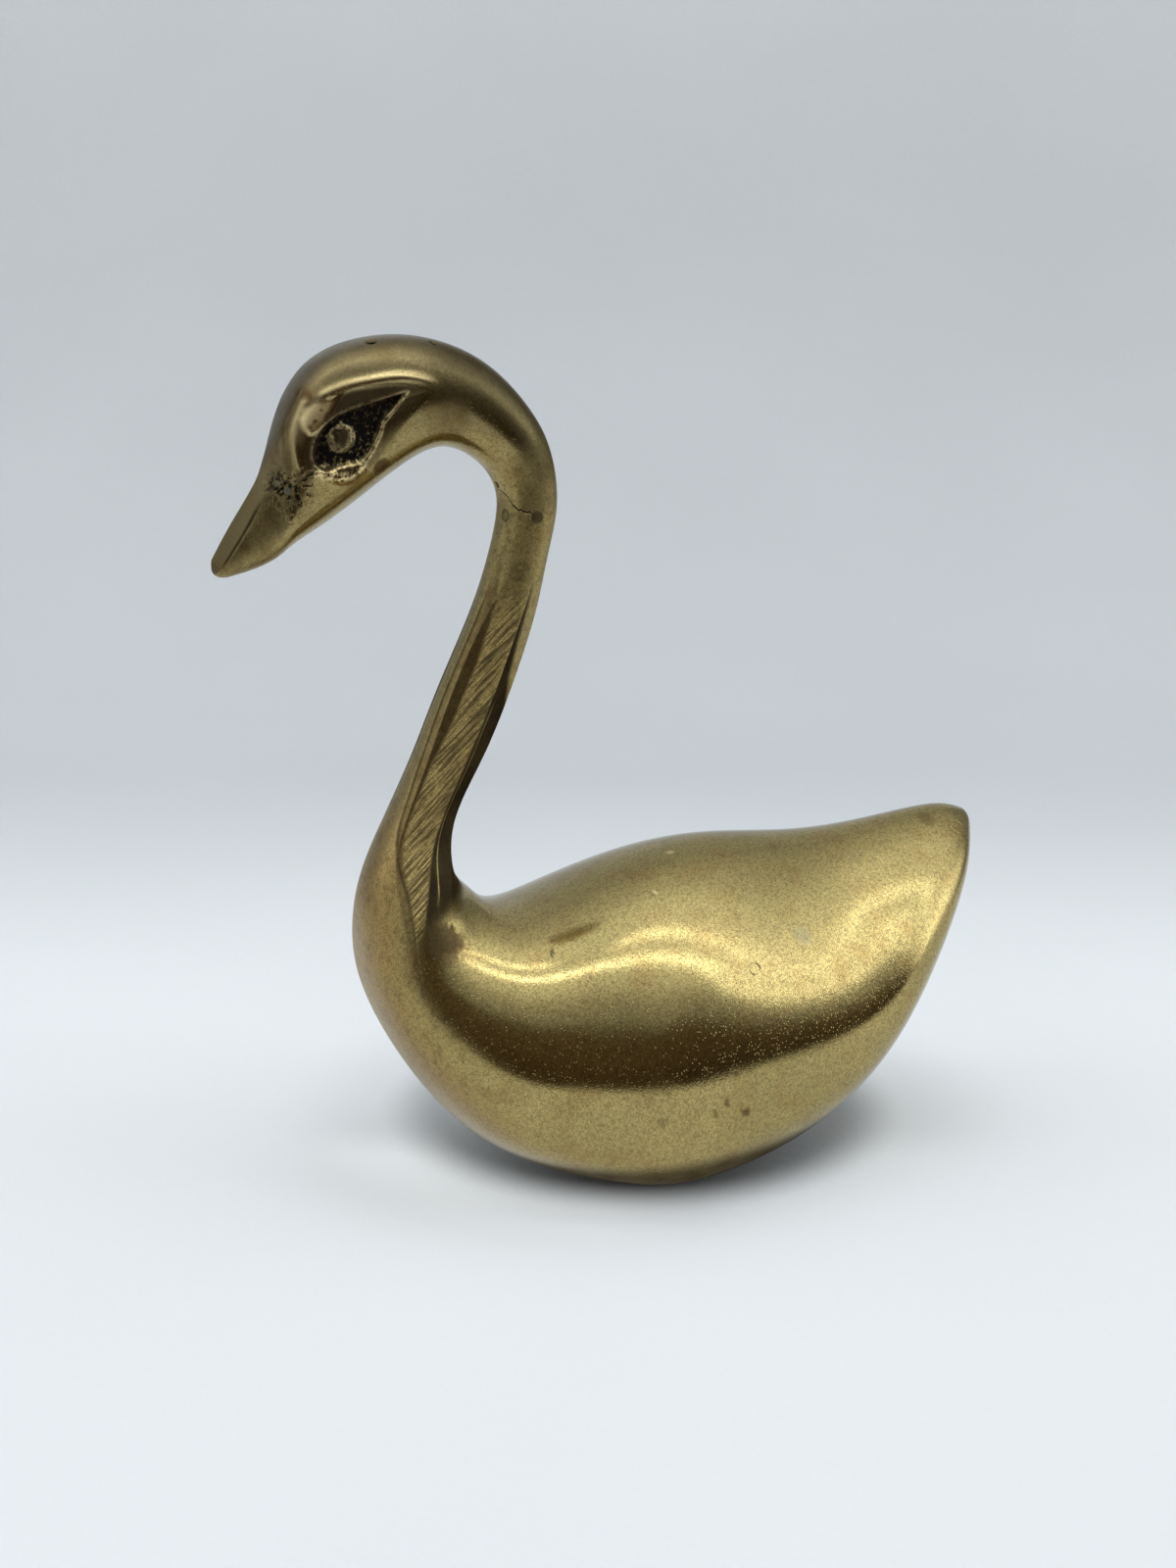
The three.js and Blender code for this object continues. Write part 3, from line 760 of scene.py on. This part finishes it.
def skin_near(place, angle, along_mm, across_mm):
    """Points of the skin at distances from a spot, found by stepping along the skin."""
    centre, _, along, across = spot_frame(place, angle)
    places = np.full(along_mm.shape, float(place))
    angles = np.full(along_mm.shape, float(angle))
    nudge = 0.002
    rounds = 5
    for _ in range(rounds):
        points = skin(places, angles)
        by_place = (skin(places + nudge, angles) - points) / nudge
        by_angle = (skin(places, angles + nudge) - points) / nudge
        offset = points - centre
        miss = np.stack([along_mm - offset @ along, across_mm - offset @ across], -1)
        turn = np.stack([
            np.stack([by_place @ along, by_angle @ along], -1),
            np.stack([by_place @ across, by_angle @ across], -1),
        ], -2)
        step = np.linalg.solve(turn, miss[..., None])[..., 0]
        places = places + step[..., 0]
        angles = angles + step[..., 1]
    return skin(places, angles)


def make_plug(name, place, angle, radius):
    """A disc filed to the skin, with a rubbed round rim, standing in its pocket."""
    _, normal, _, _ = spot_frame(place, angle)
    around = 40
    turns = np.linspace(0, 2 * math.pi, around, endpoint=False)
    rings = []
    for share, drop in PLUG_PROFILE:
        reach = radius * share
        ring = skin_near(place, angle, reach * np.cos(turns), reach * np.sin(turns))
        rings.append(ring - normal * drop)
    plug = loft(f"{name}_top", np.array(rings), name)
    mesh = bmesh.new()
    mesh.from_mesh(plug.data)
    bmesh.ops.recalc_face_normals(mesh, faces=mesh.faces)
    mesh.to_mesh(plug.data)
    mesh.free()
    return plug


# Materials

class Nodes:
    """Short helpers to add nodes to a tree and link them."""

    def __init__(self, tree):
        self.tree = tree
        tree.nodes.clear()

    def add(self, kind, inputs=None, **settings):
        node = self.tree.nodes.new(kind)
        for name, value in settings.items():
            setattr(node, name, value)
        for name, value in (inputs or {}).items():
            self.feed(node.inputs[name], value)
        return node

    def feed(self, socket, value):
        if isinstance(value, bpy.types.NodeSocket):
            self.tree.links.new(value, socket)
        else:
            socket.default_value = value

    def math(self, operation, *values):
        node = self.add("ShaderNodeMath", operation=operation)
        for socket, value in zip(node.inputs, values):
            self.feed(socket, value)
        return node.outputs[0]

    def times(self, first, second):
        return self.math("MULTIPLY", first, second)

    def plus(self, total, value, share):
        """A total with a share of another value added to it."""
        return self.math("ADD", total, self.times(value, share))

    def vector(self, operation, *values):
        node = self.add("ShaderNodeVectorMath", operation=operation)
        for socket, value in zip(node.inputs, values):
            self.feed(socket, value)
        return node.outputs["Value" if operation in ("LENGTH", "DOT_PRODUCT") else "Vector"]

    def mix(self, factor, first, second):
        """Colour between two others. A mix node keeps its colours on sockets 6 and 7 and its result on 2."""
        node = self.add("ShaderNodeMix", data_type="RGBA")
        for socket, value in zip((node.inputs[0], node.inputs[6], node.inputs[7]), (factor, first, second)):
            self.feed(socket, value)
        return node.outputs[2]

    def step(self, value, low, high, to_low=0.0, to_high=1.0):
        node = self.add("ShaderNodeMapRange", interpolation_type="SMOOTHSTEP")
        for socket, number in zip(node.inputs, (value, low, high, to_low, to_high)):
            self.feed(socket, number)
        return node.outputs[0]

    def noise(self, vector, scale, detail=2.0, roughness=0.5):
        inputs = {"Vector": vector, "Scale": scale, "Detail": detail, "Roughness": roughness}
        return self.add("ShaderNodeTexNoise", inputs).outputs["Fac"]

    def mark(self, name):
        return self.add("ShaderNodeAttribute", attribute_name=name).outputs["Fac"]


def new_material(name):
    material = bpy.data.materials.new(name)
    material.use_nodes = True
    return material, Nodes(material.node_tree)


def rgb(red, green, blue):
    return (red, green, blue, 1.0)


def strokes(nodes, where, turn, fine, length):
    """Stretched noise that looks like file strokes along one direction in the side view."""
    sideways = 300
    turned = nodes.add("ShaderNodeMapping", {"Vector": where, "Rotation": (0, turn, 0)}).outputs[0]
    scale = (length, sideways, fine)
    stretched = nodes.add("ShaderNodeMapping", {"Vector": turned, "Scale": scale}).outputs[0]
    return nodes.noise(stretched, 1.0, 1.5, 0.5)


def brass_textures(nodes):
    """Noise from broad clouds to a fine tooth, scattered pits, and file strokes."""
    where = nodes.add("ShaderNodeTexCoord").outputs["Object"]
    cells = nodes.add("ShaderNodeTexVoronoi", {"Vector": where, "Scale": 2700.0, "Randomness": 1.0})
    lot = nodes.add("ShaderNodeSeparateColor", {"Color": cells.outputs["Color"]}).outputs[0]
    dots = nodes.step(cells.outputs["Distance"], 0.32, 0.1)
    return {
        "clouds": nodes.noise(where, 45.0, 4.0, 0.55),
        "patches": nodes.noise(where, 190.0, 5.0, 0.62),
        "blotches": nodes.noise(where, 520.0, 5.0, 0.65),
        "speckle": nodes.noise(where, 1700.0, 4.0, 0.65),
        "tooth": nodes.noise(where, 4600.0, 2.0),
        "pits": nodes.times(dots, nodes.step(lot, 0.35, 1.0)),
        "neck_strokes": strokes(nodes, where, math.radians(44), 3900.0, 170.0),
        "roof_strokes": strokes(nodes, where, math.radians(-60), 3600.0, 120.0),
    }


def brass_tone(nodes, textures, brown, gold, patina):
    """Colour of the brass: the bare metal, and over it layers of tarnish, wear, painted shade and painted
    highlight.
    """
    patches = textures["patches"]
    filed = nodes.mark("filed")
    tanned = nodes.math("MAXIMUM", nodes.step(patches, 0.48, 0.7, 0.0, 0.6), nodes.mark("tan"))
    dull_tone = nodes.mix(nodes.step(patches, 0.4, 0.7), rgb(0.2, 0.16, 0.077), rgb(0.155, 0.112, 0.046))
    blotched = nodes.step(textures["blotches"], 0.5, 0.66, 0.0, 0.4)
    scratched = nodes.step(textures["neck_strokes"], 0.44, 0.6, 0.0, 0.8)
    layers = [
        (nodes.step(textures["clouds"], 0.38, 0.68, 0.0, 0.7), rgb(0.4, 0.325, 0.126)),
        (tanned, rgb(0.39, 0.255, 0.09)),
        # Darker tarnish tone, with painted shade on the crown
        (nodes.mark("tarnish_and_shade"), dull_tone),
        (filed, rgb(0.66, 0.5, 0.19)),
        (nodes.step(textures["speckle"], 0.45, 0.66, 0.0, patina), rgb(0.13, 0.09, 0.038)),
        (nodes.step(textures["tooth"], 0.42, 0.62, 0.0, 0.5), rgb(0.13, 0.095, 0.04)),
        (nodes.times(nodes.mark("matt"), blotched), rgb(0.12, 0.08, 0.032)),
        (nodes.times(filed, scratched), rgb(0.1, 0.075, 0.035)),
        # Brown: tarnish and stains, with painted shade under the belly, beside the neck's facet, in the eye
        # socket and behind the eye
        (brown, rgb(0.075, 0.042, 0.018)),
        (nodes.mark("roof"), rgb(0.13, 0.098, 0.044)),
        # Light gold: wear, with painted highlights along the brow's crest, the front ridge and the eyeball's
        # top
        (nodes.mark("wear_and_highlight"), rgb(0.8, 0.64, 0.32)),
        (nodes.times(textures["pits"], 0.4), rgb(0.07, 0.05, 0.025)),
        # Black: dirt in cracks, pits and hollows, with painted shade under the belly, beside the facet, in
        # the socket and on the nape
        (nodes.mark("black"), rgb(0.012, 0.011, 0.009)),
        (nodes.mark("green"), rgb(0.15, 0.19, 0.15)),
    ]
    tone = gold
    for share, colour in layers:
        tone = nodes.mix(share, tone, colour)
    return tone


def brass_roughness(nodes, textures, cover):
    matt = nodes.mark("matt")
    for name in ("brown", "wear_and_highlight", "roof"):
        matt = nodes.math("MAXIMUM", matt, nodes.mark(name))
    rough = nodes.step(textures["patches"], 0.3, 0.75, 0.09, 0.14)
    rough = nodes.plus(rough, cover, 0.35)
    rough = nodes.plus(rough, matt, 0.28)
    return nodes.plus(rough, nodes.mark("filed"), 0.12)


def brass_relief(nodes, textures):
    neck_cuts = nodes.times(nodes.mark("filed"), textures["neck_strokes"])
    roof_cuts = nodes.times(nodes.mark("roof"), textures["roof_strokes"])
    height = nodes.times(textures["tooth"], 0.16)
    height = nodes.plus(height, textures["speckle"], 0.14)
    height = nodes.plus(height, textures["pits"], -0.45)
    height = nodes.plus(height, neck_cuts, 3.6)
    height = nodes.plus(height, roof_cuts, 1.2)
    return nodes.add("ShaderNodeBump", {"Strength": 1.0, "Distance": 0.00005, "Height": height}).outputs[0]


def aged_brass(name, gold, patina):
    """Worn cast brass with patches of brown and olive tarnish, pits, file strokes, black hollows and painted
    shade and highlights.
    """
    material, nodes = new_material(name)
    textures = brass_textures(nodes)
    uneven = nodes.step(textures["patches"], 0.3, 0.7, 0.7, 1.0)
    brown = nodes.times(nodes.mark("brown"), uneven)
    green = nodes.mark("green")
    cover = nodes.math("MAXIMUM", nodes.mark("black"), green)
    dirty = nodes.math("MAXIMUM", cover, brown)
    shader = nodes.add("ShaderNodeBsdfPrincipled", {
        "Base Color": brass_tone(nodes, textures, brown, gold, patina),
        "Metallic": nodes.step(green, 0.0, 1.0, 1.0, 0.15),
        "Roughness": brass_roughness(nodes, textures, cover),
        "Normal": brass_relief(nodes, textures),
        "Specular Tint": nodes.mix(dirty, rgb(1.0, 1.0, 1.0), rgb(0.1, 0.07, 0.04)),
    })
    nodes.add("ShaderNodeOutputMaterial", {"Surface": shader.outputs[0]})
    return material


# The painted shadow on the sheet, in metres: its middle, how much it is drawn out sideways, and the
# distances from the middle between which its core, its soft part behind the swan and the painted light
# spilled in front of it fade
FOOT = (-0.002, 0.02, 0)
DRAWN_OUT = (0.92, 1, 1)
CORE_FADE = (0.031, 0.0425)
SOFT_FADE = (0.062, 0.036)
SPILL_FADE = (0.056, 0.042)


def sheet_paleness(nodes, where):
    """Strength of the sheet's own glow: painted shade weakens it at the back, it rises higher up, a painted
    shadow fades it close to the swan, and painted light is spilled in front on the left.
    """
    across, depth, height = nodes.add("ShaderNodeSeparateXYZ", {0: where}).outputs
    aside = nodes.vector("SUBTRACT", where, FOOT)
    foot = nodes.vector("LENGTH", nodes.vector("MULTIPLY", aside, DRAWN_OUT))
    # Painted shadow: the glow fades round the swan's foot, with a softer part behind it
    behind = nodes.step(depth, -0.004, 0.012)
    in_front = nodes.math("SUBTRACT", 1.0, behind)
    soft = nodes.times(behind, nodes.step(foot, *SOFT_FADE, 0.0, 0.26))
    shade = nodes.times(nodes.step(foot, *CORE_FADE), nodes.math("SUBTRACT", 1.0, soft))
    # Painted light spilled in front of the swan on its left
    on_left_side = nodes.step(across, 0.008, -0.012)
    painted_spill = nodes.times(nodes.step(foot, *SPILL_FADE, 0.0, 0.11), on_left_side)
    painted_spill = nodes.times(painted_spill, in_front)
    lifted = nodes.step(height, 0.1, 0.4, 0.0, 0.2)
    # Painted shade: the glow weaker towards the backdrop, and higher again up it
    pale = nodes.math("ADD", nodes.step(depth, 0.05, 0.26, 0.38, 0.13), nodes.math("ADD", lifted, painted_spill))
    return nodes.times(shade, pale)


def sheet_material():
    """A pale sheet with a faint leather grain. Part of its paleness is a glow of its own, shaped by painted
    shadow.
    """
    material, nodes = new_material("pale_sheet")
    where = nodes.add("ShaderNodeTexCoord").outputs["Object"]
    soft = nodes.noise(where, 9.0, 3.0)
    colour = nodes.mix(nodes.step(soft, 0.3, 0.7), rgb(0.43, 0.445, 0.45), rgb(0.45, 0.465, 0.47))
    leather = nodes.noise(where, 420.0, 4.0, 0.6)
    relief = nodes.add("ShaderNodeBump", {"Strength": 0.5, "Distance": 0.0003, "Height": leather})
    shader = nodes.add("ShaderNodeBsdfPrincipled", {
        "Base Color": colour, "Roughness": 0.8, "Normal": relief.outputs[0]})
    rays = nodes.add("ShaderNodeLightPath").outputs
    seen = nodes.math("MAXIMUM", rays["Is Camera Ray"], rays["Is Glossy Ray"])
    seen = nodes.math("MAXIMUM", seen, rays["Is Transmission Ray"])
    strength = nodes.times(seen, sheet_paleness(nodes, where))
    glow = nodes.add("ShaderNodeEmission", {"Color": rgb(0.96, 1.0, 1.02), "Strength": strength})
    both = nodes.add("ShaderNodeAddShader", {0: shader.outputs[0], 1: glow.outputs[0]})
    nodes.add("ShaderNodeOutputMaterial", {"Surface": both.outputs[0]})
    return material


# The studio

# How far the lights and the sheet are turned from the swan's length
LIGHT_TURN = math.radians(-34)
SHEET_TURN = math.radians(-22)
ROOM_TONE = rgb(1.0, 0.72, 0.46)
LIGHT_TONE = rgb(0.95, 1.0, 1.05)
# Brightness of the surroundings from the camera side's horizon (0 degrees) over the top to the far one (180)
SKY = [(0, 0.08), (8, 0.1), (16, 0.12), (24, 0.12), (29, 0.16), (36, 0.4), (44, 0.52), (50, 0.68), (55, 0.95),
       (60, 1.2), (66, 1.35), (74, 1.3), (88, 1.45), (95, 1.45), (101, 1.15), (107, 0.88), (120, 0.65),
       (130, 0.5), (150, 0.35), (180, 0.3)]
# The dark room reaches higher towards the right end, in degrees
DARK_RISE = 9.0
# Long lights overhead: middle and half width in degrees, brightness, and where the left end is in degrees
STRIPS = [(70.5, 2.3, 5.0, -45), (82, 2.1, 3.8, 7)]
# How far they bend towards the camera's side at the right end, in degrees
STRIP_BEND = 8.0
# Brightness of the broad lights at the left and the right end
LEFT_WINDOW = 0.55
RIGHT_WINDOW = 1.8
# The sheet's front edge in metres: the table ends there
SHEET_FRONT = [(-0.4, -0.3), (-0.13, -0.3), (-0.07, -0.15), (-0.03, -0.15), (0.05, -0.31), (0.12, -0.31),
               (0.2, -0.2), (0.4, -0.2)]
# Where its sweep starts behind the swan, the radius of the sweep and the height of the backdrop, in metres
SWEEP_START = 0.25
SWEEP_RADIUS = 0.45
BACKDROP_TOP = 1.1
# The camera: place and target in mm, focal length and width of the sensor in mm
CAMERA_PLACE = (-131.4, -295.5, 149.4)
CAMERA_TARGET = (-12, 0, 64)
FOCAL_LENGTH = 49.0
SENSOR_WIDTH = 36.0


def make_sheet():
    """A floor that sweeps up into a backdrop."""
    sweep = []
    for turn in np.linspace(0, math.pi / 2, 24):
        depth = SWEEP_START + SWEEP_RADIUS * math.sin(turn)
        sweep.append((depth, SWEEP_RADIUS - SWEEP_RADIUS * math.cos(turn)))
    sweep.append((SWEEP_START + SWEEP_RADIUS, BACKDROP_TOP))
    points = [(x, front, 0.0) for x, front in SHEET_FRONT]
    points += [(x, y, z) for y, z in sweep for x, _ in SHEET_FRONT]
    across = len(SHEET_FRONT)
    faces = []
    for row, column in itertools.product(range(len(sweep)), range(across - 1)):
        corner = row * across + column
        faces.append((corner, corner + 1, corner + across + 1, corner + across))
    mesh = bpy.data.meshes.new("sheet")
    mesh.from_pydata(points, [], faces)
    mesh.polygons.foreach_set("use_smooth", [True] * len(faces))
    sheet = bpy.data.objects.new("sheet", mesh)
    bpy.context.collection.objects.link(sheet)
    sheet.rotation_euler.z = SHEET_TURN
    sheet.data.materials.append(sheet_material())


def sky_light(nodes, degrees):
    """Brightness of the surroundings at an angle over the top."""
    ramp = nodes.add("ShaderNodeFloatCurve", {"Value": nodes.math("DIVIDE", degrees, 180.0)})
    curve = ramp.mapping.curves[0]
    brightest = max(tone for _, tone in SKY)
    for angle, tone in SKY[1:-1]:
        curve.points.new(angle / 180, tone / brightest)
    curve.points[0].location = (0, SKY[0][1] / brightest)
    curve.points[-1].location = (1, SKY[-1][1] / brightest)
    for point in curve.points:
        point.handle_type = "VECTOR"
    ramp.mapping.update()
    return nodes.times(ramp.outputs[0], brightest)


def strip_light(nodes, bent, reach, strip):
    """One long light, with soft sides and a soft left end."""
    middle, half, glow, start = strip
    soft_end = 3.0
    away = nodes.math("ABSOLUTE", nodes.math("SUBTRACT", bent, middle))
    band = nodes.step(away, half, half * 0.3, 0.0, glow)
    return nodes.times(band, nodes.step(reach, start - soft_end, start + soft_end))


def window_light(nodes, over, reach):
    """The broad lights at both ends."""
    left = nodes.step(reach, -4.0, -28.0, 0.0, LEFT_WINDOW)
    left = nodes.times(left, nodes.step(over, 75.0, 40.0))
    right = nodes.step(reach, 50.0, 76.0, 0.0, RIGHT_WINDOW)
    right = nodes.times(right, nodes.step(over, 70.0, 90.0))
    right = nodes.times(right, nodes.step(over, 180.0, 130.0, 0.4, 1.0))
    return nodes.math("ADD", left, right)


def make_world():
    """Soft overhead light with two long strips, and a dark room on the camera's side."""
    world = bpy.data.worlds.new("studio")
    bpy.context.scene.world = world
    world.use_nodes = True
    nodes = Nodes(world.node_tree)
    look = nodes.add("ShaderNodeTexCoord").outputs["Generated"]
    side = nodes.vector("DOT_PRODUCT", look, (math.sin(LIGHT_TURN), -math.cos(LIGHT_TURN), 0))
    along = nodes.vector("DOT_PRODUCT", look, (math.cos(LIGHT_TURN), math.sin(LIGHT_TURN), 0))
    rise = nodes.add("ShaderNodeSeparateXYZ", {0: look}).outputs["Z"]
    over = nodes.math("DEGREES", nodes.math("ARCTAN2", nodes.math("MAXIMUM", rise, 0.0), side))
    reach = nodes.math("DEGREES", nodes.math("ARCSINE", along))

    clutter = nodes.times(nodes.math("SUBTRACT", nodes.noise(look, 5.0, 3.0), 0.5), 30.0)
    blurred = nodes.math("ADD", over, nodes.times(clutter, nodes.step(over, 50.0, 20.0)))
    rising = nodes.step(reach, 42.0, 62.0, 0.0, DARK_RISE)
    rising = nodes.times(rising, nodes.step(over, 90.0, 65.0))
    light = sky_light(nodes, nodes.math("SUBTRACT", blurred, rising))
    bent = nodes.math("ADD", over, nodes.step(reach, 48.0, 66.0, 0.0, STRIP_BEND))
    for strip in STRIPS:
        light = nodes.math("ADD", light, strip_light(nodes, bent, reach, strip))
    light = nodes.math("ADD", light, window_light(nodes, over, reach))
    tone = nodes.mix(nodes.step(light, 0.05, 0.3), ROOM_TONE, LIGHT_TONE)
    room = nodes.add("ShaderNodeBackground", {"Color": tone, "Strength": light})
    nodes.add("ShaderNodeOutputWorld", {"Surface": room.outputs[0]})


def make_camera():
    data = bpy.data.cameras.new("camera")
    data.lens = FOCAL_LENGTH
    data.sensor_width = SENSOR_WIDTH
    data.clip_start = 0.01
    camera = bpy.data.objects.new("camera", data)
    bpy.context.collection.objects.link(camera)
    target = Vector(CAMERA_TARGET) * MM
    camera.location = Vector(CAMERA_PLACE) * MM
    camera.rotation_euler = (target - camera.location).to_track_quat("-Z", "Y").to_euler()
    bpy.context.scene.camera = camera


make_camera()
make_world()
make_sheet()

brass = {
    "cast_brass": aged_brass("aged_brass", rgb(0.5, 0.39, 0.15), 0.4),
    "plug_brass": aged_brass("plug_brass", rgb(0.49, 0.38, 0.15), 0.4),
    "pin_brass": aged_brass("pin_brass", rgb(0.13, 0.1, 0.045), 0.5),
}

for casting in (make_body(), make_head()):
    casting.data.materials.append(brass["cast_brass"])
for name, place, angle, radius, slot in plug_spots():
    plug = make_plug(name, place, angle, radius)
    plug.data.materials.append(brass[slot])
    if slot == "pin_brass":
        set_marks(plug, {"matt": np.ones(len(plug.data.vertices))})
base_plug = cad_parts["base_plug"]
base_plug.data.materials.clear()
base_plug.data.materials.append(brass["plug_brass"])

bpy.context.scene.view_settings.view_transform = "Standard"

bpy.context.view_layer.update()
